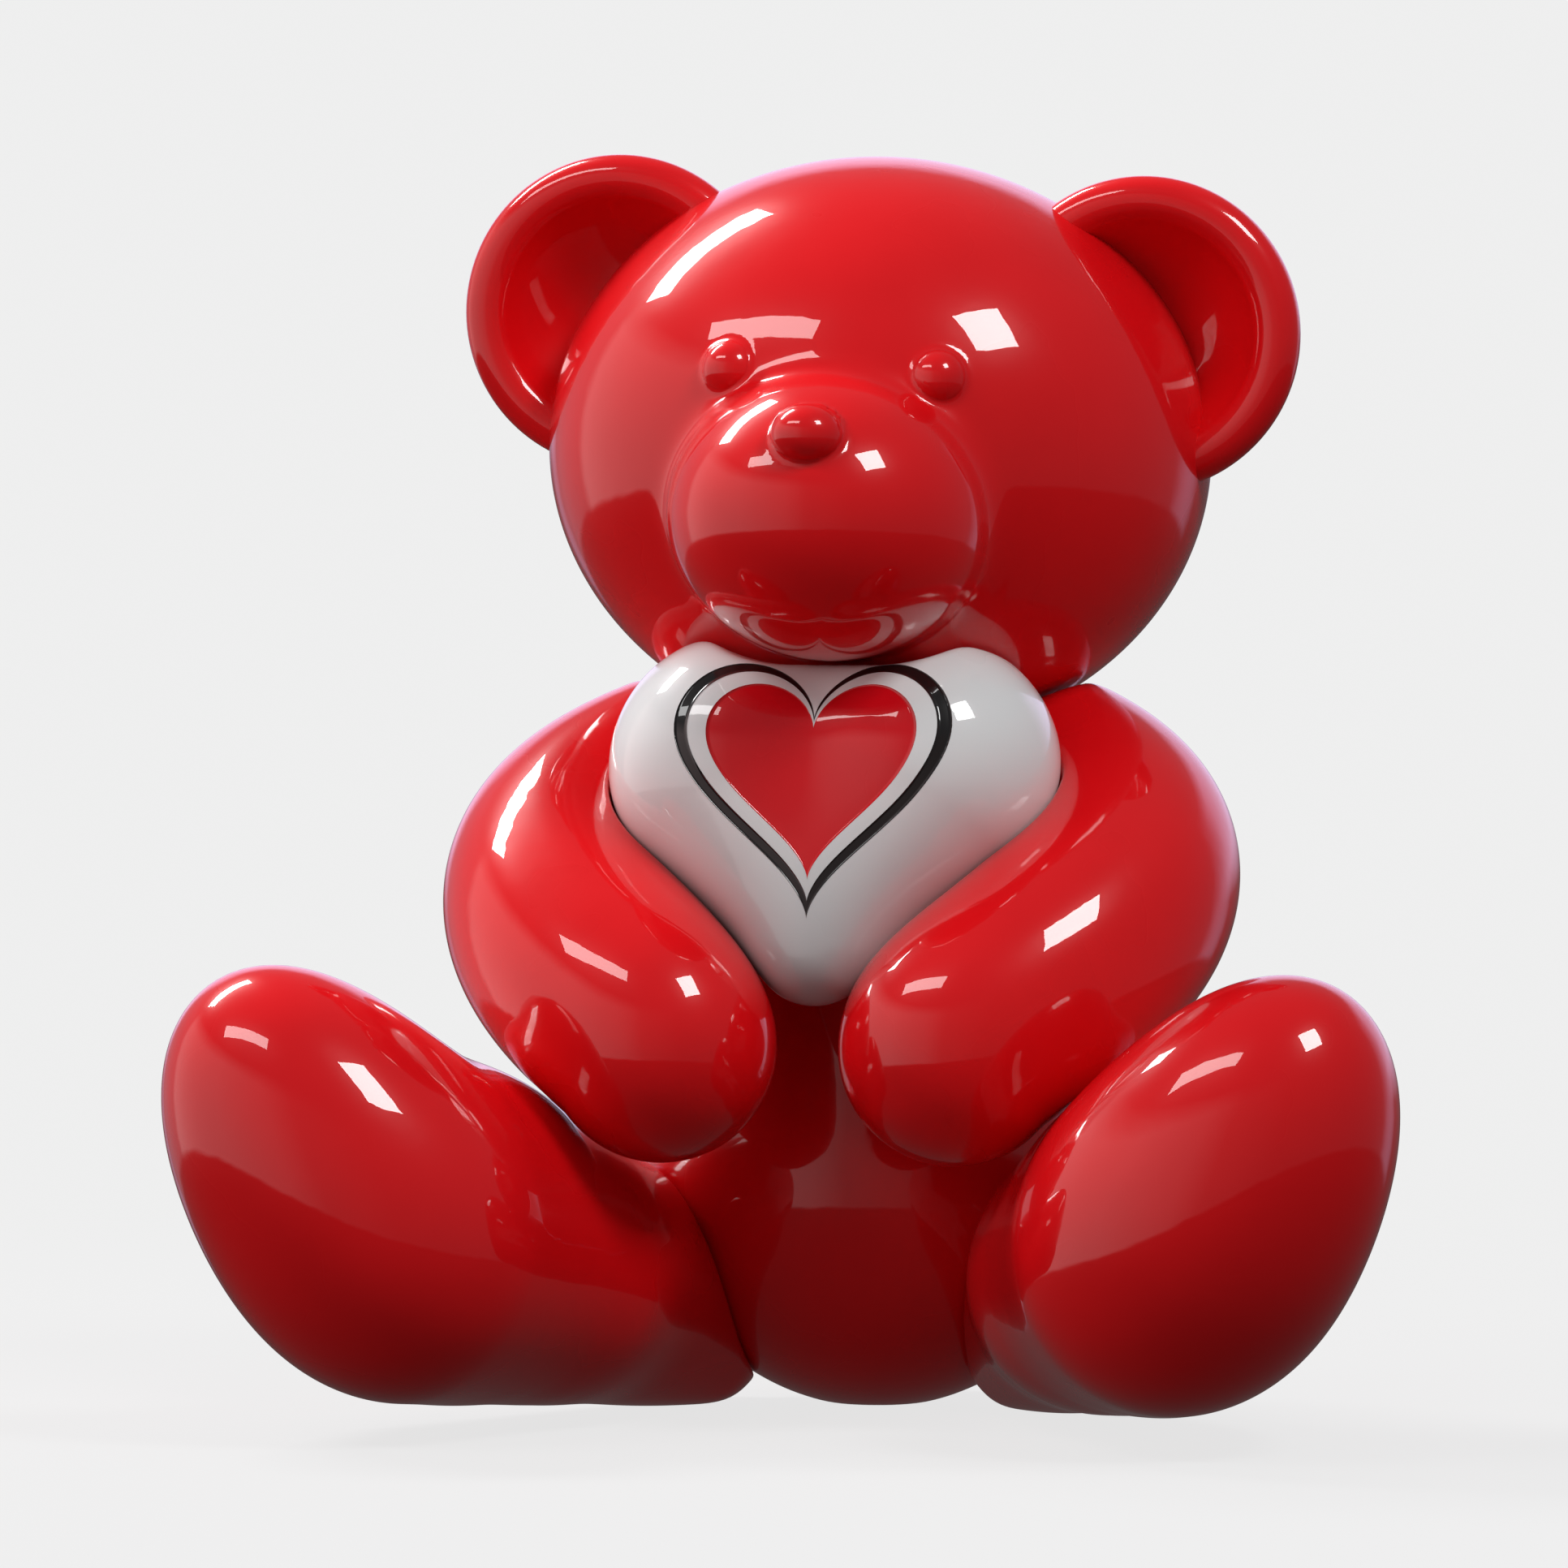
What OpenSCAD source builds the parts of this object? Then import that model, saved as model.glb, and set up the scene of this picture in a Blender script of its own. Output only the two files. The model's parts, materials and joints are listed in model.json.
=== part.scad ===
// Glossy vinyl bear holding a heart, seated. Millimetres, +Z up, the face looks along -Y.
// The origin is on the floor at the middle of the bounding box.

/* [Toy] */
// Wall of the cast vinyl shells
wall = 3; // [2:0.5:4]
// Gap left between two shells that turn on each other
turn_gap = 0.4; // [0.3:0.1:0.8]
// How far the body's axis stands behind the origin
body_back = 33.75; // [28:0.05:38]

/* [Head] */
// Half width of the head
head_half_w = 52.4; // [48:0.1:56]
// Half depth of the head
head_half_d = 47.5; // [44:0.1:52]
// Half height of the head
head_half_h = 46.1; // [42:0.1:50]
// Height of the head's middle
head_z = 151.5; // [148:0.1:154]
// Sideways tilt of the head, in degrees
head_tilt = 2.5; // [0:0.1:4]
// Radius of the ears
ear_r = 24.8; // [22:0.1:27]
// Thickness of the ears' rolled rim
ear_rim = 7.6; // [6:0.1:9]
// Radius of the eyes
eye_r = 4.6; // [4:0.1:5]
// Radius of the nose
nose_r = 5.2; // [4.5:0.1:5.6]

/* [Body] */
// Radius of the round belly
belly_r = 37; // [36.6:0.1:38]
// Height of the belly's middle
belly_z = 36.4; // [36:0.1:36.5]
// Radius of the chest
chest_r = 24; // [22:0.1:25]
// Height of the chest's middle
chest_z = 88; // [86:0.5:90]

/* [Heart] */
// Radius of the heart's two lobes
lobe_r = 21.2; // [19:0.1:22]
// Radius of the heart's tip
tip_r = 6.8; // [6:0.1:9]
// Depth of the heart's back against its front
back_flat = 0.45; // [0.3:0.05:0.6]

/* [Joints] */
// Radius of the hip and shoulder pegs
limb_peg_r = 4; // [3.5:0.1:4.5]
// Radius of the neck peg
neck_peg_r = 6; // [5:0.1:7]
// Radial clearance of a peg in the body's bearing
bearing_gap = 0.05; // [0.03:0.01:0.1]

/* [Hidden] */

$fn = 64;
vinyl_red = [0.80, 0.03, 0.05];
heart_white = [0.90, 0.92, 0.90];
peg_grey = [0.25, 0.25, 0.27];

// Places, measured from the point on the floor under the neck
back = [0, body_back, 0];
belly = [0, 0, belly_z];
chest = [0, 0, chest_z];
neck = [0, 0, 108];
head_mid = [0, -7.9, head_z];
muzzle_mid = [0, -46.6, 141.6];
muzzle_half = [25.3, 27.5, 22.7];
ear_mid = [41.9, -12.9, 171.4];
eye_mid = [16.2, -49.5, 163.3];
nose_mid = [0, -69.9, 154.1];
crease = 4.5;                   // width of the soft crease round the muzzle

// The ear's seat on the head: a sphere that follows the head's side there
seat_mid = [7.37, -7.9, 150.2];
seat_r = 45.5;

// Arm: the centre line's control points from shoulder to hand, and the radius at each
arm_line = [[32.4, -11.7, 99.5], [62.3, -32.9, 80.8], [23.7, -58.9, 65.9], [23, -58.7, 59.7]];
arm_radii = [15.8, 21.1, 19.6, 17.9];
heart_gap = 0.3;                // between an arm and the heart it holds
shoulder_dir = unit(arm_line[0] - chest);

arm_steps = 30;
arm_balls = [for (i = [0 : arm_steps])
    [bezier(arm_line, i / arm_steps), bezier(arm_radii, i / arm_steps)]];
arm_core = bezier(arm_line, 0.45);

// Leg: the foot is a long egg; cones run from hip to heel, along the inner side from thigh to
// calf and on to the instep. All flow into each other, and the underside is flat
hip = [30.1, 0.7, 17.1];
hip_r = 13;
heel = [57.1, -56.5, 30.5];
heel_r = 25.4;
thigh = [29, -11.8, 12.4];
thigh_r = 12.9;
calf = [42.4, -46.9, 23.4];
calf_r = 16.6;
instep = [58.6, -76.7, 30.3];
instep_r = 21;
foot_mid = [69.6, -82.7, 43];
foot_half = [22.2, 32.8];       // across and along
foot_lean = [9, 31.7];          // forwards and outwards, in degrees
thigh_blend = 16;
instep_blend = 12;
foot_blend = 30;
sole = 0.3;                     // the underside's height over the seat plane
sole_blend = 3;
leg_core = [52, -50, 28];
hip_dir = unit([31.8, -9.1, -15.5]);

// Heart: two cones from the lobes to the tip, in a plane that leans back
lobe = [14.3, -36, 101.9];
tip = [0, -50.5, 74.5];
heart_core = [0, -43, 93];
heart_blend = 16;
heart_len = norm([0, tip[1] - lobe[1], tip[2] - lobe[2]]);
heart_up = [0, lobe[1] - tip[1], lobe[2] - tip[2]] / heart_len;
heart_out = [0, -heart_up[2], heart_up[1]];
chin_turn = [-8, -4, 0, 4, 8];  // turns of the head that the heart leaves room for
chin_gap = 0.5;

// Hardware
boss_deep = 9;                  // bearing boss inside the body, below the ball's surface
boss_rim = 4;                   // and its thickness round the peg
boss_top = 2.4;
washer_thick = 2;
washer_rim = 3;
washer_gap = 0.2;
flange_thick = 2;
flange_rim = 4;
seat_top = turn_gap + wall + 0.8;   // where a flange sits, above the ball's surface
peg_tail = 4;                   // peg left past the boss
stem_r = 1.6;
ear_stem_r = 3;
ear_stem_out = 7;               // the stem's length outwards and inwards from its root
ear_stem_in = 12;
heart_peg_r = 3;
heart_peg_at = [0, -chest_r + 3, 90];

// ---- vector and distance helpers ----
function unit(v) = v / norm(v);
function mirrored(p, side) = [side * p[0], p[1], p[2]];
function smooth_min(a, b, k) = let (h = max(k - abs(a - b), 0) / k) min(a, b) - h * h * h * k / 6;
function ellipsoid(p, half) =
    let (q = [p[0] / half[0], p[1] / half[1], p[2] / half[2]],
         s = [q[0] / half[0], q[1] / half[1], q[2] / half[2]])
    norm(q) * (norm(q) - 1) / max(norm(s), 0.0001);
// Distance to a cone with round ends of radius ra at a and rb at b
function round_cone(p, a, ra, b, rb) =
    let (ab = b - a, len = norm(ab), dir = ab / len, along = (p - a) * dir,
         off = norm(p - a - dir * along), s = (ra - rb) / len, c = sqrt(1 - s * s),
         t = along * c - off * s)
    t < 0 ? norm(p - a) - ra : t > len * c ? norm(p - b) - rb : off * c + along * s - ra;
function turn_x(p, a) = [p[0], p[1] * cos(a) - p[2] * sin(a), p[1] * sin(a) + p[2] * cos(a)];
function turn_y(p, a) = [p[0] * cos(a) + p[2] * sin(a), p[1], p[2] * cos(a) - p[0] * sin(a)];
function turn_z(p, a) = [p[0] * cos(a) - p[1] * sin(a), p[0] * sin(a) + p[1] * cos(a), p[2]];
function bezier(points, t) =
    let (u = 1 - t)
    u * u * u * points[0] + 3 * u * u * t * points[1] + 3 * u * t * t * points[2]
    + t * t * t * points[3];

// ---- closed forms of the soft shapes, negative inside ----
function head_form(p) =
    let (q = turn_y(p - neck, -head_tilt) + neck)
    smooth_min(ellipsoid(q - head_mid, [head_half_w, head_half_d, head_half_h]),
               ellipsoid(q - muzzle_mid, muzzle_half), crease);
function head_swept(p) = min([for (a = chin_turn) head_form(turn_z(p - neck, a) + neck)]);
function leg_limb(p) =
    smooth_min(smooth_min(round_cone(p, hip, hip_r, heel, heel_r),
                          round_cone(p, thigh, thigh_r, calf, calf_r), thigh_blend),
               round_cone(p, calf, calf_r, instep, instep_r), instep_blend);
function leg_form(p) =
    let (q = turn_x(turn_y(p - foot_mid, -foot_lean[1]), -foot_lean[0]))
    -smooth_min(-smooth_min(leg_limb(p), ellipsoid(q, [foot_half[0], foot_half[0], foot_half[1]]),
                            foot_blend), p[2] - sole, sole_blend);
function arm_form(p) =
    max(min([for (b = arm_balls) norm(p - b[0]) - b[1]]), turn_gap - leg_form(p),
        chin_gap - head_swept(p), chin_gap - head_swept(mirrored(p, -1)));
function heart_plain(p) =
    let (d = p - [0, lobe[1], lobe[2]], n = d * heart_out,
         q = [d[0], n < 0 ? n / back_flat : n, d * heart_up],
         low = [0, 0, -heart_len], side = [lobe[0], 0, 0])
    smooth_min(round_cone(q, side, lobe_r, low, tip_r),
               round_cone(q, -side, lobe_r, low, tip_r), heart_blend);
function heart_form(p) =
    max(heart_plain(p), chin_gap - head_swept(p), chest_r + chin_gap - norm(p - chest));

// ---- surfaces from forms ----
// Distance from a point inside to the form's surface, by halving
function reach(form, level, from, dir, near, far, steps) =
    steps == 0 ? (near + far) / 2
    : let (mid = (near + far) / 2)
      form(from + dir * mid) < level ? reach(form, level, from, dir, mid, far, steps - 1)
                                     : reach(form, level, from, dir, near, mid, steps - 1);
// Directions of one ring, at an angle from the pole
function ring_dirs(pole, lat, sides) =
    let (x = unit(cross(abs(pole[0]) < 0.9 ? [1, 0, 0] : [0, 1, 0], pole)), y = cross(pole, x))
    [for (i = [0 : sides - 1]) let (a = 360 * i / sides)
        pole * cos(lat) + (x * cos(a) + y * sin(a)) * sin(lat)];
function skin_ring(form, level, core, pole, lat, sides, far) =
    [for (d = ring_dirs(pole, lat, sides)) core + d * reach(form, level, core, d, 0, far, 17)];
// Triangles between rings k and k + 1 of the points, for every k from first to last
function band_faces(first, last, sides) =
    [for (k = [first : last]) for (i = [0 : sides - 1])
        let (a = k * sides + i, b = k * sides + (i + 1) % sides, c = a + sides, d = b + sides)
        each [[a, b, c], [b, d, c]]];
function fan_faces(ring, hub, sides, flip = false) =
    [for (i = [0 : sides - 1])
        let (a = ring * sides + i, b = ring * sides + (i + 1) % sides)
        flip ? [hub, a, b] : [hub, b, a]];

// Closed skin of a form seen whole from its core
module skin(form, level, core, rings, sides, far = 130, pole = [0, 0, 1]) {
    points = [for (k = [1 : rings - 1])
        each skin_ring(form, level, core, pole, 180 * k / rings, sides, far)];
    top = core + pole * reach(form, level, core, pole, 0, far, 17);
    bottom = core - pole * reach(form, level, core, -pole, 0, far, 17);
    count = len(points);
    polyhedron(concat(points, [top, bottom]),
        concat(fan_faces(0, count, sides), band_faces(0, rings - 3, sides),
               fan_faces(rings - 2, count + 1, sides, true)));
}

// Half of a hollow skin on one side of the plane through its core
module half_skin(form, core, pole, rings, sides, thick, far = 60) {
    points = concat(
        [for (k = [1 : rings])
            each skin_ring(form, 0, core, pole, 90 * k / rings, sides, far)],
        [for (k = [rings : -1 : 1])
            each skin_ring(form, -thick, core, pole, 90 * k / rings, sides, far)]);
    outer_hub = core + pole * reach(form, 0, core, pole, 0, far, 17);
    inner_hub = core + pole * reach(form, -thick, core, pole, 0, far, 17);
    count = len(points);
    polyhedron(concat(points, [outer_hub, inner_hub]),
        concat(fan_faces(0, count, sides), band_faces(0, 2 * rings - 2, sides),
               fan_faces(2 * rings - 1, count + 1, sides, true)));
}

// ---- placing ----
module placed() { translate(back) children(); }
module tilted() { translate(neck) rotate([0, head_tilt, 0]) translate(-neck) children(); }
// Turns +Z to a direction, from a point
module facing(from, dir) {
    translate(from) rotate([0, acos(dir[2]), atan2(dir[1], dir[0])]) children();
}
module on_side(side) { mirror([side < 0 ? 1 : 0, 0, 0]) children(); }

// ---- torso ----
// Two balls joined by the cone that touches both
module torso_solid(thin) {
    lean = (belly_r - chest_r) / (chest_z - belly_z);
    flat = sqrt(1 - lean * lean);
    low = belly_z + (belly_r - thin) * lean;
    high = chest_z + (chest_r - thin) * lean;
    translate(belly) sphere(r = belly_r - thin);
    translate(chest) sphere(r = chest_r - thin);
    translate([0, 0, low])
        cylinder(h = high - low, r1 = (belly_r - thin) * flat, r2 = (chest_r - thin) * flat);
}
module at_hip(side) { facing(belly, mirrored(hip_dir, side)) translate([0, 0, belly_r]) children(); }
module at_shoulder(side) {
    facing(chest, mirrored(shoulder_dir, side)) translate([0, 0, chest_r]) children();
}
module at_neck() { translate(chest + [0, 0, chest_r]) children(); }
module at_heart() { translate(heart_peg_at) rotate([90, 0, 0]) children(); }
module at_pegs() {
    for (side = [-1, 1]) {
        at_hip(side) children(0);
        at_shoulder(side) children(0);
    }
    at_neck() children(1);
}
module boss(r) { translate([0, 0, -boss_deep]) cylinder(h = boss_deep - boss_top, r = r + boss_rim); }
module bearing(r) { translate([0, 0, -20]) cylinder(h = 40, r = r + bearing_gap); }
module torso_shell() color(vinyl_red) placed() difference() {
    union() {
        difference() {
            torso_solid(0);
            torso_solid(wall);
        }
        at_pegs() {
            boss(limb_peg_r);
            boss(neck_peg_r);
        }
        at_heart() translate([0, 0, -6]) cylinder(h = 7.5, r = heart_peg_r + boss_rim);
    }
    at_pegs() {
        bearing(limb_peg_r);
        bearing(neck_peg_r);
    }
    at_heart() translate([0, 0, -12]) cylinder(h = 30, r = heart_peg_r);
    translate([0, 0, -10]) cube([60, 60, 20], center = true);
}

// ---- pegs and washers, drawn outwards along +Z from the ball's surface ----
module peg(r) color(peg_grey) {
    translate([0, 0, -boss_deep - peg_tail]) cylinder(h = boss_deep + peg_tail + seat_top, r = r);
    translate([0, 0, seat_top]) cylinder(h = flange_thick, r = r + flange_rim);
}
module washer(r) color(peg_grey) translate([0, 0, -boss_deep - washer_thick - washer_gap]) difference() {
    cylinder(h = washer_thick, r = r + washer_rim);
    translate([0, 0, -1]) cylinder(h = washer_thick + 2, r = r);
}
// Flat boss left inside a shell under the flange
module flange_boss(r) { cylinder(h = seat_top, r = r + flange_rim + 1); }
module flange_room(r) {
    translate([0, 0, seat_top]) cylinder(h = flange_thick, r = r + flange_rim);
    translate([0, 0, -wall]) cylinder(h = wall + seat_top + 1, r = r);
}
module neck_peg() placed() at_neck() peg(neck_peg_r);
module neck_washer() placed() at_neck() washer(neck_peg_r);
module shoulder_peg(side) placed() at_shoulder(side) peg(limb_peg_r);
module shoulder_washer(side) placed() at_shoulder(side) washer(limb_peg_r);
module hip_peg(side) placed() at_hip(side) peg(limb_peg_r);
module hip_washer(side) placed() at_hip(side) washer(limb_peg_r);

// ---- head ----
eye_out = unit(eye_mid - head_mid);
nose_out = unit(nose_mid - muzzle_mid);
ear_root = ear_mid + [0, 9.4, 0];
ear_in = unit(seat_mid - ear_root);
module head_skin(level, rings, sides) {
    skin(function (p) head_form(p), level, head_mid, rings, sides, pole = [0, -1, 0]);
}
module head_shell() color(vinyl_red) placed() difference() {
    head_skin(0, 30, 44);
    translate(chest) sphere(r = chest_r + turn_gap);
    difference() {
        head_skin(-wall, 14, 24);
        translate(chest) sphere(r = chest_r + turn_gap + wall);
        at_neck() flange_boss(neck_peg_r);
    }
    at_neck() flange_room(neck_peg_r);
    tilted() {
        for (side = [-1, 1]) {
            facing(mirrored(eye_mid, side), mirrored(eye_out, side)) dome_seat(eye_r);
            facing(mirrored(ear_root, side), mirrored(ear_in, side))
                translate([0, 0, -ear_stem_out - 1])
                    cylinder(h = 2 * (ear_stem_out + ear_stem_in), r = ear_stem_r);
        }
        facing(nose_mid, nose_out) dome_seat(nose_r);
    }
}
module dome_seat(r) {
    translate([0, 0, -1.2]) cylinder(h = 10, r = r + 0.05);
    translate([0, 0, -12]) cylinder(h = 12, r = stem_r);
}
// A ball with a flat back that sits in a shallow round seat, on a stem
module dome(r) {
    intersection() {
        sphere(r = r);
        translate([0, 0, -1.2]) cylinder(h = 2 * r, r = r + 1);
    }
    translate([0, 0, -7]) cylinder(h = 6.5, r = stem_r);
}
module eye(side) color(vinyl_red) placed() tilted()
    facing(mirrored(eye_mid, side), mirrored(eye_out, side)) dome(eye_r);
module nose() color(vinyl_red) placed() tilted() facing(nose_mid, nose_out) dome(nose_r);

// Half section of the ear: a round dish that runs smoothly into a rolled rim, and a domed back
ear_dish = 8.5;
ear_back = 13.9;
ear_shift = 0.6;                // of the rim's middle line, backwards
module ear_section() {
    rim = ear_rim / 2;
    at = [ear_r - rim, -ear_shift];
    drop = ear_dish - ear_shift;
    dish_r = (at[0] * at[0] + drop * drop - rim * rim) / (2 * (rim + drop));
    mid = [0, dish_r - ear_dish];
    meet = atan2(at[0], mid[1] - at[1]);
    start = 90 + meet;
    steps = 10;
    polygon(concat(
        [for (i = [0 : steps - 1]) mid + dish_r * [sin(meet * i / steps), -cos(meet * i / steps)]],
        [for (i = [0 : steps]) let (a = start * (1 - i / steps)) at + rim * [cos(a), sin(a)]],
        [for (i = [1 : steps]) let (a = 90 * i / steps) [ear_r * cos(a), -ear_shift - ear_back * sin(a)]]));
}
module ear(side) color(vinyl_red) placed() tilted() {
    difference() {
        translate(mirrored(ear_mid, side)) rotate([90, 0, 0]) rotate_extrude() ear_section();
        translate(mirrored(seat_mid, side)) sphere(r = seat_r);
    }
    facing(mirrored(ear_root, side), mirrored(ear_in, side))
        translate([0, 0, -ear_stem_out]) cylinder(h = ear_stem_out + ear_stem_in, r = ear_stem_r);
}

// ---- arms and legs ----
module heart_room(level) {
    skin(function (p) heart_plain(p), level, heart_core, 18, 36, 60, heart_out);
}
module arm_skin(level, rings, sides) {
    skin(function (p) arm_form(p), level, arm_core, rings, sides, 90, unit(arm_line[0] - arm_line[3]));
}
module arm(side) color(vinyl_red) placed() on_side(side) difference() {
    arm_skin(0, 26, 36);
    torso_solid(-turn_gap);
    heart_room(heart_gap);
    difference() {
        arm_skin(-wall, 14, 18);
        torso_solid(-turn_gap - wall);
        heart_room(heart_gap + wall);
        at_shoulder(1) flange_boss(limb_peg_r);
    }
    at_shoulder(1) flange_room(limb_peg_r);
}
module leg_skin(level, rings, sides) {
    skin(function (p) leg_form(p), level, leg_core, rings, sides, pole = unit([0.45, -0.85, 0.2]));
}
module leg(side) color(vinyl_red) placed() on_side(side) difference() {
    leg_skin(0, 30, 40);
    translate(belly) sphere(r = belly_r + turn_gap);
    difference() {
        leg_skin(-wall, 12, 18);
        translate(belly) sphere(r = belly_r + turn_gap + wall);
        at_hip(1) flange_boss(limb_peg_r);
    }
    at_hip(1) flange_room(limb_peg_r);
}

// ---- heart ----
module heart_front_shell() color(heart_white) placed()
    half_skin(function (p) heart_form(p), heart_core, heart_out, 13, 44, 2.5);
module heart_back_shell() color(heart_white) placed() difference() {
    half_skin(function (p) heart_form(p), heart_core, -heart_out, 9, 44, 2.5);
    at_heart() cylinder(h = 30, r = heart_peg_r);
}
module heart_peg() color(peg_grey) placed()
    at_heart() translate([0, 0, -6]) cylinder(h = 16, r = heart_peg_r);

torso_shell();
neck_peg();
neck_washer();
head_shell();
ear(1);  // ear_left
ear(-1);  // ear_right
eye(1);  // eye_left
eye(-1);  // eye_right
nose();
arm(1);  // arm_left
arm(-1);  // arm_right
shoulder_peg(1);  // shoulder_peg_left
shoulder_peg(-1);  // shoulder_peg_right
shoulder_washer(1);  // shoulder_washer_left
shoulder_washer(-1);  // shoulder_washer_right
leg(1);  // leg_left
leg(-1);  // leg_right
hip_peg(1);  // hip_peg_left
hip_peg(-1);  // hip_peg_right
hip_washer(1);  // hip_washer_left
hip_washer(-1);  // hip_washer_right
heart_front_shell();
heart_back_shell();
heart_peg();
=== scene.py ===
"""Looks of a seated vinyl bear that holds a heart: lacquered shells, the print, floor, lights and camera.

The soft shapes are closed forms in millimetres, measured from the point on the floor under the neck,
with the face towards -Y. A form is negative inside. Each shell is a sphere grid stretched onto its form.
"""
import json
import math

import bpy
import numpy as np
from mathutils import Matrix, Vector


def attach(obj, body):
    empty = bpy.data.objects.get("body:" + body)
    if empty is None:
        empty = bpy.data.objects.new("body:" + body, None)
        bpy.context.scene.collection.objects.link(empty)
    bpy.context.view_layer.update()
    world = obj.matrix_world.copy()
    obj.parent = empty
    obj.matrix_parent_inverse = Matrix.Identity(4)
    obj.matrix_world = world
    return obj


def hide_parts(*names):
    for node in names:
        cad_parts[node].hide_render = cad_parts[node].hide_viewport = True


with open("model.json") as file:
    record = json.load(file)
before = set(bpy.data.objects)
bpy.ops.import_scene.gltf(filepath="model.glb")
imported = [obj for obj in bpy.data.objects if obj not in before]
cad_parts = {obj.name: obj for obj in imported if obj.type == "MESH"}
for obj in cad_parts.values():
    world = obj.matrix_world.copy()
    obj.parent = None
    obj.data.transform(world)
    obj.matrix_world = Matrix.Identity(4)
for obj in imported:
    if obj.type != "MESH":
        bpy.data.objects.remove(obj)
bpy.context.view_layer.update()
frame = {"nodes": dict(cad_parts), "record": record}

MM = 0.001
AXIS = np.array([0.0, frame["record"]["mounts"][0]["pos_m"][1] / MM, 0.0])  # floor point under the neck

# ---- sizes, in millimetres ----
TURN_GAP, CHIN_GAP = 0.4, 0.5  # round the balls that turn, and round the head's sweep
EDGE, RIM, LEG_EDGE = 1.0, 0.8, 1.2  # softness where one form cuts another
HEAD_TURNS = (-8, -4, 0, 4, 8)  # in degrees
HEAD_MID, HEAD_HALF, HEAD_TILT = np.array([0, -7.9, 151.5]), np.array([52.4, 47.5, 46.1]), 2.5
MUZZLE_MID, MUZZLE_HALF, CREASE = np.array([0, -46.6, 141.6]), np.array([25.3, 27.5, 22.7]), 4.5
NECK = np.array([0, 0, 108.0])
EYE_MID, EYE_R = np.array([16.2, -49.5, 163.3]), 4.6
NOSE_MID, NOSE_HALF = np.array([0, -69.9, 154.1]), np.array([5.6, 5.3, 4.7])
COLLAR, SINK = 1.3, 0.08  # softness of the collars at the eyes and nose, and how far they lie inside them
STEM_R, STEM_LEN, STEM_BLEND = 1.6, 9, 1.0  # of the stems that hold the eyes and the nose
EAR_MID, EAR_R, EAR_RIM = np.array([41.9, -12.9, 171.4]), 24.8, 7.6
EAR_DISH, EAR_BACK, EAR_SHIFT = 8.5, 13.9, 0.6
BELLY, BELLY_R = np.array([0, 0, 36.4]), 37.0
CHEST, CHEST_R = np.array([0, 0, 88.0]), 24.0
ARM_LINE = np.array([[32.4, -11.7, 99.5], [62.3, -32.9, 80.8], [23.7, -58.9, 65.9], [23, -58.7, 59.7]])
ARM_RADII = np.array([15.8, 21.1, 19.6, 17.9])
ARM_STEPS, ARM_FINE = 40, 0.001  # first search along the line, and when the search stops
HIP, HIP_R = np.array([30.1, 0.7, 17.1]), 13.0
HEEL, HEEL_R = np.array([57.1, -56.5, 30.5]), 25.4
THIGH, THIGH_R = np.array([29.0, -11.8, 12.4]), 12.9
CALF, CALF_R = np.array([42.4, -46.9, 23.4]), 16.6
INSTEP, INSTEP_R = np.array([58.6, -76.7, 30.3]), 21.0
FOOT_MID, FOOT_HALF = np.array([69.6, -82.7, 43.0]), np.array([22.2, 22.2, 32.8])
FOOT_LEAN = (9.0, 31.7)
THIGH_BLEND, INSTEP_BLEND, FOOT_BLEND = 16, 12, 30
SOLE, SOLE_BLEND = 0.3, 3.0
LOBE, LOBE_R = np.array([14.3, -36, 101.9]), 21.2
TIP, TIP_R = np.array([0, -50.5, 74.5]), 6.8
HEART_BLEND, BACK_FLAT, HEART_GAP = 16, 0.45, 0.3


# ---- vector helpers and closed forms ----
def norm(v):
    return np.linalg.norm(v, axis=-1)


def turned(p, axis, degrees, about=(0, 0, 0)):
    """Points turned about an axis through a point."""
    matrix = np.array(Matrix.Rotation(math.radians(degrees), 3, Vector(axis)))
    return (p - about) @ matrix.T + about


def smooth_min(a, b, k):
    h = np.maximum(k - np.abs(a - b), 0) / k
    return np.minimum(a, b) - h**3 * k / 6


def smooth_max(a, b, k):
    return -smooth_min(-a, -b, k)


def ball(p, mid, r):
    return norm(p - mid) - r


def ellipsoid(p, half):
    k = norm(p / half)
    return k * (k - 1) / np.maximum(norm(p / half**2), 1e-6)


def round_cone(p, a, ra, b, rb):
    """Distance to a cone with round ends of radius ra at a and rb at b."""
    length = norm(b - a)
    along = (p - a) @ (b - a) / length
    off = norm(p - a - along[..., None] * (b - a) / length)
    s = (ra - rb) / length
    c = math.sqrt(1 - s * s)
    t = along * c - off * s
    ends = np.where(t < 0, norm(p - a) - ra, norm(p - b) - rb)
    return np.where((t < 0) | (t > length * c), ends, off * c + along * s - ra)


def untilted(p):
    return turned(p, (0, 1, 0), -HEAD_TILT, NECK)


def tilted(p):
    return turned(p, (0, 1, 0), HEAD_TILT, NECK)


def head_plain(p):
    q = untilted(p)
    return smooth_min(ellipsoid(q - HEAD_MID, HEAD_HALF), ellipsoid(q - MUZZLE_MID, MUZZLE_HALF), CREASE)


def head_swept(p):
    """All that the head passes through as it turns."""
    return np.min([head_plain(turned(p, (0, 0, 1), a, NECK)) for a in HEAD_TURNS], axis=0)


def stemmed(p, mid, half, core):
    """A ball or bead with a stem that runs inwards to the core."""
    inner = mid + (core - mid) * STEM_LEN / norm(core - mid)
    return smooth_min(ellipsoid(p - mid, half), round_cone(p, mid, STEM_R, inner, STEM_R), STEM_BLEND)


def side(p, s):
    """Points on the left for s = 1, and mirrored to the right for s = -1."""
    return p * np.array([s, 1, 1])


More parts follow.
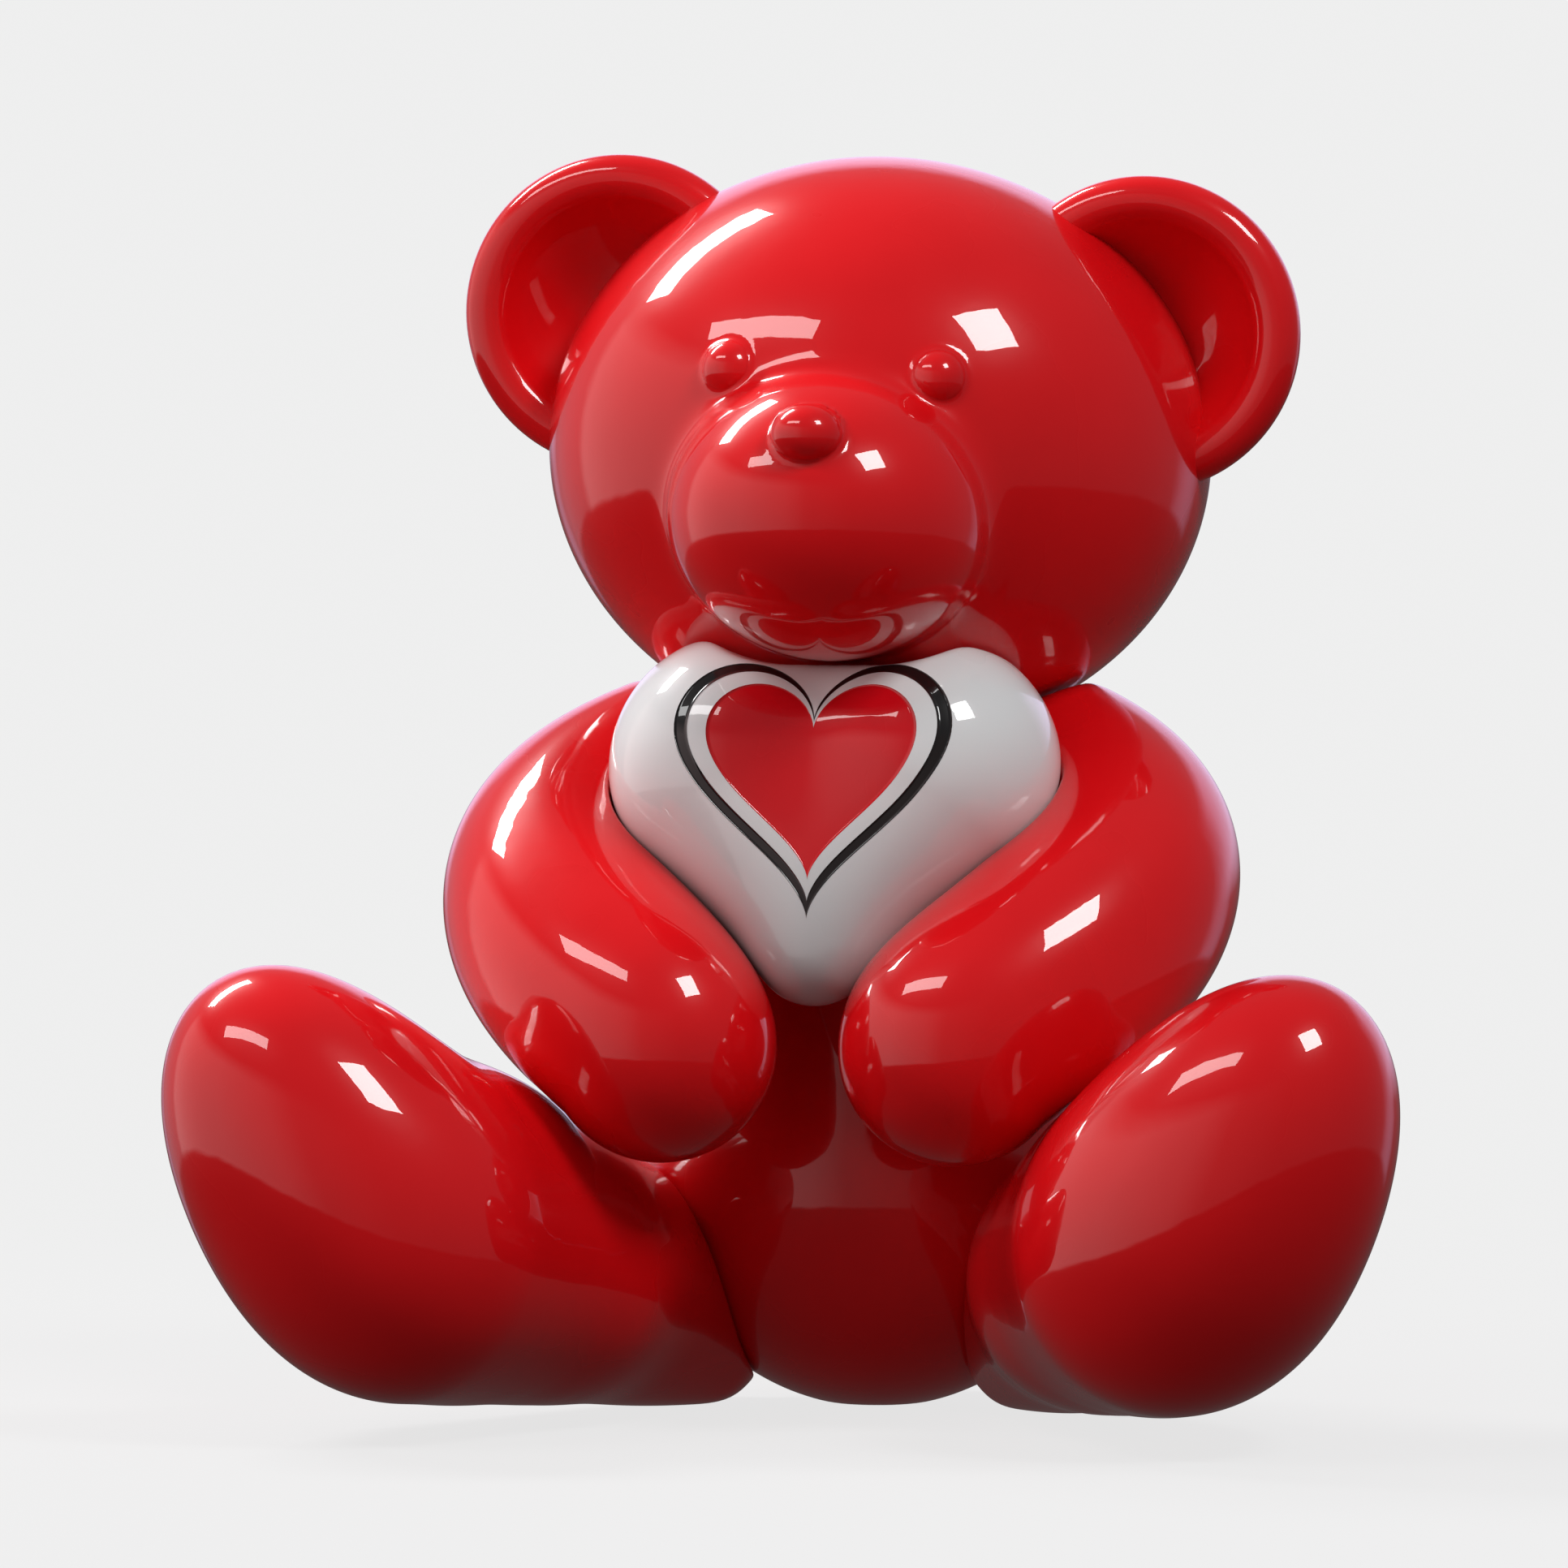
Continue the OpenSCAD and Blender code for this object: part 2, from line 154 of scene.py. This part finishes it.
def head_form(p):
    """The head with a small collar round each eye and the nose, and the neck's seat."""
    q = untilted(p)
    form = head_plain(p)
    for sign in (1, -1):
        form = smooth_min(form, ball(side(q, sign), EYE_MID, EYE_R - SINK), COLLAR)
    form = smooth_min(form, ellipsoid(q - NOSE_MID, NOSE_HALF - SINK), COLLAR)
    return smooth_max(form, -ball(p, CHEST, CHEST_R + TURN_GAP), EDGE)


def torso_form(p):
    return smooth_max(round_cone(p, BELLY, BELLY_R, CHEST, CHEST_R), -p[..., 2], RIM)


def leg_form(p):
    """An egg for the foot, three cones, a flat underside and the belly's seat."""
    q = turned(turned(p - FOOT_MID, (0, 1, 0), -FOOT_LEAN[1]), (1, 0, 0), -FOOT_LEAN[0])
    limb = smooth_min(round_cone(p, HIP, HIP_R, HEEL, HEEL_R), round_cone(p, THIGH, THIGH_R, CALF, CALF_R),
                      THIGH_BLEND)
    limb = smooth_min(limb, round_cone(p, CALF, CALF_R, INSTEP, INSTEP_R), INSTEP_BLEND)
    limb = smooth_min(limb, ellipsoid(q, FOOT_HALF), FOOT_BLEND)
    limb = smooth_max(limb, SOLE - p[..., 2], SOLE_BLEND)
    return smooth_max(limb, -ball(p, BELLY, BELLY_R + TURN_GAP), LEG_EDGE)


def bezier(points, t):
    u = 1 - t
    weights = np.stack([u**3, 3 * u * u * t, 3 * u * t * t, t**3], -1)
    return weights @ points


def arm_line_form(p):
    """Distance to the balls that run along the arm's centre line."""
    steps = np.linspace(0, 1, ARM_STEPS + 1)
    gaps = np.stack([norm(p - bezier(ARM_LINE, t)) - bezier(ARM_RADII, t) for t in steps])
    t = steps[np.argmin(gaps, axis=0)]
    best = np.min(gaps, axis=0)
    width = steps[1] / 2
    while width > ARM_FINE:
        for shift in (-width, width):
            at = np.clip(t + shift, 0, 1)
            gap = norm(p - bezier(ARM_LINE, at)) - bezier(ARM_RADII, at)
            t = np.where(gap < best, at, t)
            best = np.minimum(gap, best)
        width /= 2
    return best


def arm_form(p):
    """The arm with room for the torso, the head leaned to either side, the leg and the heart."""
    form = smooth_max(arm_line_form(p), TURN_GAP - round_cone(p, BELLY, BELLY_R, CHEST, CHEST_R), RIM)
    for sign in (1, -1):
        form = smooth_max(form, CHIN_GAP - head_swept(side(p, sign)), RIM)
    form = smooth_max(form, TURN_GAP - leg_form(p), RIM)
    return smooth_max(form, HEART_GAP - heart_plain(p), RIM)


HEART_LEN = float(norm(TIP[1:] - LOBE[1:]))
HEART_UP = np.array([0, *(LOBE[1:] - TIP[1:])]) / HEART_LEN
HEART_OUT = np.array([0, -HEART_UP[2], HEART_UP[1]])
HEART_TOP = np.array([0, LOBE[1], LOBE[2]])
HEART_CORE = np.array([0, -43.0, 93.0])


def heart_plain(p):
    """Two cones from the lobes to the tip, in a plane that leans back, flatter behind."""
    d = p - HEART_TOP
    n = d @ HEART_OUT
    q = np.stack([d[..., 0], np.where(n < 0, n / BACK_FLAT, n), d @ HEART_UP], -1)
    low, lobe = np.array([0, 0, -HEART_LEN]), np.array([LOBE[0], 0, 0])
    return smooth_min(round_cone(q, lobe, LOBE_R, low, TIP_R), round_cone(q, -lobe, LOBE_R, low, TIP_R),
                      HEART_BLEND)


def heart_form(p):
    """The heart with room for the chin and the chest."""
    form = smooth_max(heart_plain(p), CHIN_GAP - head_swept(p), EDGE)
    return smooth_max(form, -ball(p, CHEST, CHEST_R + CHIN_GAP), EDGE)


# ---- meshes ----
HALVINGS = 24


def cube_sphere(cells):
    """Directions and quads of a cube's six faces blown up to a sphere."""
    t = np.tan(np.linspace(-1, 1, cells + 1) * math.pi / 4)
    u, v = np.meshgrid(t, t, indexing="ij")
    one = np.ones_like(u)
    faces = [(one, u, v), (-one, v, u), (v, one, u), (u, -one, v), (u, v, one), (v, u, -one)]
    points = np.concatenate([np.stack(f, -1).reshape(-1, 3) for f in faces])
    _, first, merged = np.unique(np.round(points, 6), axis=0, return_index=True, return_inverse=True)
    index = np.arange((cells + 1) ** 2).reshape(cells + 1, cells + 1)
    quad = np.stack([index[:-1, :-1], index[1:, :-1], index[1:, 1:], index[:-1, 1:]], -1).reshape(-1, 4)
    quads = np.concatenate([quad + k * index.size for k in range(6)])
    dirs = points[first]
    return dirs / norm(dirs)[:, None], merged.reshape(-1)[quads]


def reach(form, core, dirs, far):
    """Distance from the core to the form's surface along each direction, by halving."""
    near, beyond = np.zeros(len(dirs)), np.full(len(dirs), float(far))
    for _ in range(HALVINGS):
        mid = (near + beyond) / 2
        inside = form(core + dirs * mid[:, None]) < 0
        near, beyond = np.where(inside, mid, near), np.where(inside, beyond, mid)
    return near


def shell(form, core, cells, far):
    """A sphere grid stretched from the core onto the form."""
    dirs, quads = cube_sphere(cells)
    core = np.asarray(core, float)
    return core + dirs * reach(form, core, dirs, far)[:, None], quads


def mirrored(points, faces):
    """The same mesh on the other side, with its faces still outwards."""
    return side(points, -1), faces[:, ::-1]


def piece(name, made, material, body, nodes):
    """A shown piece from points in millimetres and faces."""
    points, faces = made
    mesh = bpy.data.meshes.new(name)
    mesh.from_pydata(((points + AXIS) * MM).tolist(), [], [list(f) for f in faces])
    mesh.materials.append(material)
    mesh.shade_smooth()
    obj = bpy.data.objects.new(name, mesh)
    bpy.context.collection.objects.link(obj)
    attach(obj, body)
    if nodes:
        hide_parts(*nodes)
    return obj


# ---- materials ----
def new_material(name):
    material = bpy.data.materials.new(name)
    material.use_nodes = True
    return material, material.node_tree.nodes, material.node_tree.links


def lacquer(name, deep, light, coat_rough=0.015, painted_shade=None):
    """Glossy clear-coated vinyl: slow colour variation, faint orange peel and polishing haze.

    A painted shade darkens the colour towards the bottom in place of real shade: two heights in metres and
    how dark the colour is at the lower one."""
    material, nodes, links = new_material(name)
    shader = nodes["Principled BSDF"]
    shader.inputs["Coat Weight"].default_value = 1.0
    shader.inputs["Coat Roughness"].default_value = coat_rough
    shader.inputs["Coat IOR"].default_value = 1.5
    shader.inputs["Specular IOR Level"].default_value = 0.08
    coords = nodes.new("ShaderNodeTexCoord")
    clouds = nodes.new("ShaderNodeTexNoise")
    clouds.inputs["Scale"].default_value = 28
    clouds.inputs["Detail"].default_value = 3
    links.new(coords.outputs["Object"], clouds.inputs["Vector"])
    tint = nodes.new("ShaderNodeValToRGB")
    tint.color_ramp.elements[0].position, tint.color_ramp.elements[1].position = 0.3, 0.7
    tint.color_ramp.elements[0].color = (*deep, 1)
    tint.color_ramp.elements[1].color = (*light, 1)
    links.new(clouds.outputs["Fac"], tint.inputs["Fac"])
    links.new(tint.outputs["Color"], shader.inputs["Base Color"])
    # painted shade: the colour is scaled darker towards the lower height, in place of the shade low on the
    # heart
    if painted_shade:
        split = nodes.new("ShaderNodeSeparateXYZ")
        links.new(coords.outputs["Object"], split.inputs[0])
        shade_by_height = nodes.new("ShaderNodeMapRange")
        for socket, value in zip(("From Min", "From Max", "To Min"), painted_shade):
            shade_by_height.inputs[socket].default_value = value
        links.new(split.outputs["Z"], shade_by_height.inputs["Value"])
        shaded = nodes.new("ShaderNodeVectorMath")
        shaded.operation = "SCALE"
        links.new(tint.outputs["Color"], shaded.inputs[0])
        links.new(shade_by_height.outputs["Result"], shaded.inputs["Scale"])
        links.new(shaded.outputs["Vector"], shader.inputs["Base Color"])
    haze = nodes.new("ShaderNodeMapRange")
    haze.inputs["To Min"].default_value = 0.22
    haze.inputs["To Max"].default_value = 0.34
    links.new(clouds.outputs["Fac"], haze.inputs["Value"])
    links.new(haze.outputs["Result"], shader.inputs["Roughness"])
    peel = nodes.new("ShaderNodeTexNoise")
    peel.inputs["Scale"].default_value = 260
    peel.inputs["Detail"].default_value = 1
    links.new(coords.outputs["Object"], peel.inputs["Vector"])
    bump = nodes.new("ShaderNodeBump")
    bump.inputs["Strength"].default_value = 0.06
    bump.inputs["Distance"].default_value = 0.0004
    links.new(peel.outputs["Fac"], bump.inputs["Height"])
    links.new(bump.outputs["Normal"], shader.inputs["Normal"])
    links.new(bump.outputs["Normal"], shader.inputs["Coat Normal"])
    return material


red_vinyl = lacquer("red_lacquer", (0.76, 0.004, 0.007), (0.84, 0.006, 0.010))
# the white lacquer carries a painted shade, darker towards the heart's bottom
white_vinyl = lacquer("white_lacquer", (0.86, 0.94, 0.94), (0.91, 0.99, 0.99), painted_shade=(0.064, 0.098, 0.42))
print_ink_red = lacquer("ink_red", (0.70, 0.004, 0.010), (0.76, 0.006, 0.014))
print_ink_black = lacquer("ink_black", (0.006, 0.006, 0.006), (0.012, 0.012, 0.012))
peg_grey = lacquer("peg_grey", (0.05, 0.05, 0.055), (0.08, 0.08, 0.085), 0.3)

for node, obj in frame["nodes"].items():
    slot = next(s["material_slot"] for s in frame["record"]["subparts"] if s["node"] == node)
    paint = {"red_vinyl": red_vinyl, "white_vinyl": white_vinyl, "peg_plastic": peg_grey}[slot]
    obj.data.materials.clear()
    obj.data.materials.append(paint)

# ---- shells: the form, the point that its rays start from, cells along a cube's edge, the longest ray ----
TORSO_CORE, LEG_CORE, ARM_CORE = (0, 0, 60), (52, -50, 28), bezier(ARM_LINE, 0.45)
piece("torso", shell(torso_form, TORSO_CORE, 80, 80), red_vinyl, "body", ["torso_shell"])
piece("head", shell(head_form, HEAD_MID, 128, 130), red_vinyl, "head", ["head_shell"])
leg = shell(leg_form, LEG_CORE, 100, 130)
piece("left_leg", leg, red_vinyl, "leg_left", ["leg_left"])
piece("right_leg", mirrored(*leg), red_vinyl, "leg_right", ["leg_right"])
arm = shell(arm_form, ARM_CORE, 80, 90)
piece("left_arm", arm, red_vinyl, "body", ["arm_left"])
piece("right_arm", mirrored(*arm), red_vinyl, "body", ["arm_right"])
heart = shell(heart_form, HEART_CORE, 90, 60)
piece("heart", heart, white_vinyl, "body", ["heart_front_shell", "heart_back_shell"])

for sign, word in ((1, "left"), (-1, "right")):
    mid = side(EYE_MID, sign)
    eye = shell(lambda q: stemmed(q, mid, np.full(3, EYE_R), HEAD_MID), mid, 24, 20)
    piece("eye_ball_" + word, (tilted(eye[0]), eye[1]), red_vinyl, "head", ["eye_" + word])
nose = shell(lambda q: stemmed(q, NOSE_MID, NOSE_HALF, MUZZLE_MID), NOSE_MID, 24, 20)
piece("nose_ball", (tilted(nose[0]), nose[1]), red_vinyl, "head", ["nose"])


def ear_profile():
    """Half section of the ear, from the dish's middle over the rolled rim to the middle of the back."""
    rim = EAR_RIM / 2
    at = np.array([EAR_R - rim, EAR_SHIFT])
    # the dish is the circle that meets the rim's circle smoothly
    drop = EAR_DISH - EAR_SHIFT
    dish_r = (at[0] ** 2 + drop**2 - rim**2) / (2 * (rim + drop))
    mid = np.array([0, EAR_DISH - dish_r])
    meet = math.atan2(at[0], at[1] - mid[1])
    dish = [mid + dish_r * np.array([math.sin(a), math.cos(a)]) for a in np.linspace(0, meet, 40)]
    start = math.atan2(mid[1] - at[1], mid[0] - at[0])
    turn = np.linspace(start % (2 * math.pi), 2 * math.pi, 32)[1:]
    roll = [at + rim * np.array([math.cos(a), math.sin(a)]) for a in turn]
    back = [np.array([EAR_R * math.cos(a), EAR_SHIFT + EAR_BACK * math.sin(a)])
            for a in np.linspace(0, math.pi / 2, 40)[1:]]
    return np.array([*dish, *roll, *back])


def ear_mesh(sign, sides=128):
    section = ear_profile()
    rings = section[1:-1]
    angles = np.linspace(0, 2 * math.pi, sides, endpoint=False)
    points = [np.stack([r * np.cos(angles), np.full(sides, y), r * np.sin(angles)], -1) for r, y in rings]
    points = np.concatenate([*points, [[0, section[0][1], 0]], [[0, section[-1][1], 0]]])
    count = len(rings) * sides
    faces = []
    for k in range(len(rings) - 1):
        for i in range(sides):
            j = (i + 1) % sides
            faces.append([k * sides + i, k * sides + j, (k + 1) * sides + j, (k + 1) * sides + i])
    for i in range(sides):
        j = (i + 1) % sides
        faces.append([count, j, i])
        faces.append([count + 1, count - sides + i, count - sides + j])
    return tilted(points + side(EAR_MID, sign)), faces


for sign, word in ((1, "left"), (-1, "right")):
    piece("cup_ear_" + word, ear_mesh(sign), red_vinyl, "head", ["ear_" + word])


# ---- print on the heart ----
def heart_outline(angle):
    """Points of a plain symmetric heart, 2 across, by an angle that starts at the notch."""
    x = 16 * np.sin(angle) ** 3
    y = 13 * np.cos(angle) - 5 * np.cos(2 * angle) - 2 * np.cos(3 * angle) - np.cos(4 * angle)
    return np.stack([x, y], -1) / 16


def print_piece(name, inner, outer, material, lift, rows):
    """Ink between two sizes of the outline, laid on the heart's front. Inner size 0 fills the middle."""
    count = 160
    angles = np.linspace(0, 2 * math.pi, count, endpoint=False)
    outline = heart_outline(angles)
    scales = np.linspace(inner, outer, rows + 1)[0 if inner else 1:]
    flat = np.concatenate([outline * s for s in scales] + ([] if inner else [[[0, 0]]]))
    starts = HEART_TOP + np.outer(flat[:, 0], [1, 0, 0]) + np.outer(flat[:, 1] + PRINT_RISE, HEART_UP)
    height = reach(heart_form, starts, np.repeat([HEART_OUT], len(starts), axis=0), PRINT_REACH)
    top = starts + np.outer(height + lift, HEART_OUT)
    low = starts + np.outer(height - PRINT_SINK, HEART_OUT)
    n, last = len(starts), len(scales) - 1
    faces = []
    for k in range(last):
        for i in range(count):
            j = (i + 1) % count
            a, b, c, d = k * count + i, k * count + j, (k + 1) * count + j, (k + 1) * count + i
            faces += [[a, b, c, d], [n + d, n + c, n + b, n + a]]
    for i in range(count):
        j = (i + 1) % count
        a, b = last * count + i, last * count + j
        faces.append([n + a, n + b, b, a])
        if inner:
            faces.append([i, j, n + j, n + i])
        else:
            faces += [[n - 1, j, i], [n + i, n + j, 2 * n - 1]]
    return piece(name, (np.concatenate([top, low]), faces), material, "body", [])


PRINT_RISE = -7.5  # of the outline's middle over the line between the lobes
PRINT_REACH = 40  # far enough to be outside the heart
PRINT_SINK = 0.05  # how far the ink's back lies under the surface
print_piece("print_heart", 0, 16.5, print_ink_red, 0.04, 24)
print_piece("print_outline", 19.6, 21.8, print_ink_black, 0.05, 4)

# ---- camera ----
AZIMUTH, ELEVATION, DISTANCE = math.radians(11), math.radians(2), 1.8
VIEW_WIDTH = 0.2492  # metres across the frame at the object
target = Vector((-0.0152, AXIS[1] * MM + 0.0006, 0.0982))
back = Vector((math.sin(AZIMUTH) * math.cos(ELEVATION), -math.cos(AZIMUTH) * math.cos(ELEVATION),
               math.sin(ELEVATION)))
camera = bpy.data.objects.new("camera", bpy.data.cameras.new("camera"))
camera.data.sensor_width = 36
camera.data.lens = 36 * DISTANCE / VIEW_WIDTH
camera.location = target + back * DISTANCE
camera.rotation_euler = back.to_track_quat("Z", "Y").to_euler()
bpy.context.collection.objects.link(camera)
bpy.context.scene.camera = camera

# ---- floor, room and lights ----
PALE = 0.86
FLOOR_Z = -0.0002
AIM = Vector((0, 0, 0.1))  # what the lamps face


def direction(azimuth, elevation):
    """Azimuth 0 is in front of the face and 90 on the bear's left."""
    a, e = math.radians(azimuth), math.radians(elevation)
    return Vector((math.sin(a) * math.cos(e), -math.cos(a) * math.cos(e), math.sin(e)))


def floor():
    """A pale floor that glows evenly and takes a faint shadow near the object."""
    material, nodes, links = new_material("floor_pale")
    nodes.remove(nodes["Principled BSDF"])
    glow = nodes.new("ShaderNodeEmission")
    glow.inputs["Color"].default_value = (PALE, PALE, PALE, 1)
    matt = nodes.new("ShaderNodeBsdfDiffuse")
    matt.inputs["Color"].default_value = (0.8, 0.8, 0.8, 1)
    place = nodes.new("ShaderNodeNewGeometry")
    away = nodes.new("ShaderNodeVectorMath")
    away.operation = "LENGTH"
    links.new(place.outputs["Position"], away.inputs[0])
    share = nodes.new("ShaderNodeMapRange")
    for name, value in (("From Min", 0.1), ("From Max", 0.45), ("To Min", 0.12), ("To Max", 0.0)):
        share.inputs[name].default_value = value
    links.new(away.outputs["Value"], share.inputs["Value"])
    mix = nodes.new("ShaderNodeMixShader")
    links.new(share.outputs["Result"], mix.inputs["Fac"])
    links.new(glow.outputs[0], mix.inputs[1])
    links.new(matt.outputs[0], mix.inputs[2])
    links.new(mix.outputs[0], nodes["Material Output"].inputs["Surface"])
    count, radius = 96, 12.0
    turns = np.linspace(0, 2 * math.pi, count, endpoint=False)
    ring = [(radius * math.cos(a), radius * math.sin(a), FLOOR_Z) for a in turns]
    mesh = bpy.data.meshes.new("floor")
    mesh.from_pydata(ring, [], [list(range(count))])
    mesh.materials.append(material)
    obj = bpy.data.objects.new("floor", mesh)
    obj.visible_glossy = False
    obj.visible_diffuse = False
    bpy.context.collection.objects.link(obj)


def softbox(name, start, end, thick, radiance, distance=1.5):
    """A rectangular lamp from one direction to another. Thick is its other side in degrees."""
    first, last = direction(*start), direction(*end)
    way = (first + last).normalized()
    along = (last - first).normalized()
    across = way.cross(along)
    lamp = bpy.data.lights.new(name, "AREA")
    lamp.shape = "RECTANGLE"
    lamp.size = 2 * distance * math.tan(first.angle(last) / 2)
    lamp.size_y = 2 * distance * math.tan(math.radians(thick) / 2)
    lamp.energy = radiance * math.pi * lamp.size * lamp.size_y
    obj = bpy.data.objects.new(name, lamp)
    turn = Matrix((along, across, way)).transposed().to_4x4()
    obj.matrix_world = Matrix.Translation(AIM + way * distance) @ turn
    obj.visible_camera = False
    bpy.context.collection.objects.link(obj)


def ramp(nodes, stops):
    node = nodes.new("ShaderNodeValToRGB")
    elements = node.color_ramp.elements
    while len(elements) < len(stops):
        elements.new(0.5)
    for element, (at, colour) in zip(elements, stops):
        element.position = at
        element.color = (*colour, 1)
    return node


BEHIND, LEFT, RIGHT = (1.0, 0.85, 1.2), (1.1, 0.9, 0.9), (0.2, 0.16, 0.16)
WALLS = [(-180, BEHIND), (-150, BEHIND), (-142, (0.3, 0.26, 0.3)), (-116, (0.4, 0.35, 0.37)),
         (-112, LEFT), (-60, LEFT), (-22, (0.7, 0.55, 0.55)), (-5, (0.33, 0.26, 0.26)),
         (30, RIGHT), (130, (0.2, 0.16, 0.18)), (150, BEHIND), (180, BEHIND)]  # azimuth and colour
WALL_MASK = [(-90, 0), (-13.5, 0), (-12, 1), (26, 1), (34, 0), (90, 0)]  # elevation and share of wall
OFF_WALL = [(-90, (0.05, 0.035, 0.035)), (-12, (0.09, 0.06, 0.06)),
            (20, (0.17, 0.16, 0.17)), (90, (0.19, 0.18, 0.19))]  # elevation and colour
BACK_SHARE = [(0.76, 0), (0.86, 1)]  # half turns from the front
LOW_SHARE = [(0.49, 1), (0.53, 0)]  # half turns from straight down


def grey(stops):
    return [(at, (value, value, value)) for at, value in stops]


def room():
    """A studio room round the object: walls, a dim ceiling and a dark floor."""
    world = bpy.data.worlds.new("room")
    bpy.context.scene.world = world
    world.use_nodes = True
    nodes, links = world.node_tree.nodes, world.node_tree.links

    def math_node(operation, a, b=None):
        node = nodes.new("ShaderNodeMath")
        node.operation = operation
        for socket, value in zip(node.inputs, (a, b)):
            if isinstance(value, (int, float)):
                socket.default_value = value
            elif value is not None:
                links.new(value, socket)
        return node.outputs[0]

    coords = nodes.new("ShaderNodeTexCoord")
    split = nodes.new("ShaderNodeSeparateXYZ")
    links.new(coords.outputs["Generated"], split.inputs[0])
    x, y, z = split.outputs
    azimuth = math_node("ARCTAN2", x, math_node("MULTIPLY", y, -1))
    turn = math_node("ADD", math_node("DIVIDE", azimuth, 2 * math.pi), 0.5)
    rise = math_node("ADD", math_node("DIVIDE", math_node("ARCSINE", z), math.pi), 0.5)
    walls = ramp(nodes, [(az / 360 + 0.5, c) for az, c in WALLS])
    links.new(turn, walls.inputs["Fac"])
    level = ramp(nodes, grey([(el / 180 + 0.5, v) for el, v in WALL_MASK]))
    links.new(rise, level.inputs["Fac"])
    above = ramp(nodes, [(el / 180 + 0.5, c) for el, c in OFF_WALL])
    links.new(rise, above.inputs["Fac"])
    mix = nodes.new("ShaderNodeMix")
    mix.data_type = "RGBA"
    # the back wall is seen only above the horizon, so that it gives no bright edge under the legs
    behind = ramp(nodes, grey(BACK_SHARE))
    links.new(math_node("DIVIDE", math_node("ABSOLUTE", azimuth), math.pi), behind.inputs["Fac"])
    low = ramp(nodes, grey(LOW_SHARE))
    links.new(rise, low.inputs["Fac"])
    hidden = math_node("MULTIPLY", behind.outputs["Color"], low.outputs["Color"])
    seen = math_node("SUBTRACT", 1, hidden)
    links.new(math_node("MULTIPLY", level.outputs["Color"], seen), mix.inputs["Factor"])
    links.new(above.outputs["Color"], mix.inputs["A"])
    links.new(walls.outputs["Color"], mix.inputs["B"])
    return world, nodes, links, mix


def light_room():
    """The room lights the object and shows in its lacquer, and the camera sees a plain background."""
    world, nodes, links, mix = room()
    around = nodes["Background"]
    links.new(mix.outputs["Result"], around.inputs["Color"])
    plain = nodes.new("ShaderNodeBackground")
    plain.inputs["Color"].default_value = (PALE, PALE, PALE, 1)
    path = nodes.new("ShaderNodeLightPath")
    choose = nodes.new("ShaderNodeMixShader")
    links.new(path.outputs["Is Camera Ray"], choose.inputs["Fac"])
    links.new(around.outputs[0], choose.inputs[1])
    links.new(plain.outputs[0], choose.inputs[2])
    links.new(choose.outputs[0], nodes["World Output"].inputs["Surface"])


floor()
light_room()
softbox("softbox_back_left", (-107, 38), (-140, 53), 8, 34)
softbox("softbox_front_left", (-65, 40), (-20, 49), 8, 8)
softbox("softbox_right", (44, 48), (66, 48), 15, 19)
bpy.context.scene.view_settings.view_transform = "Standard"
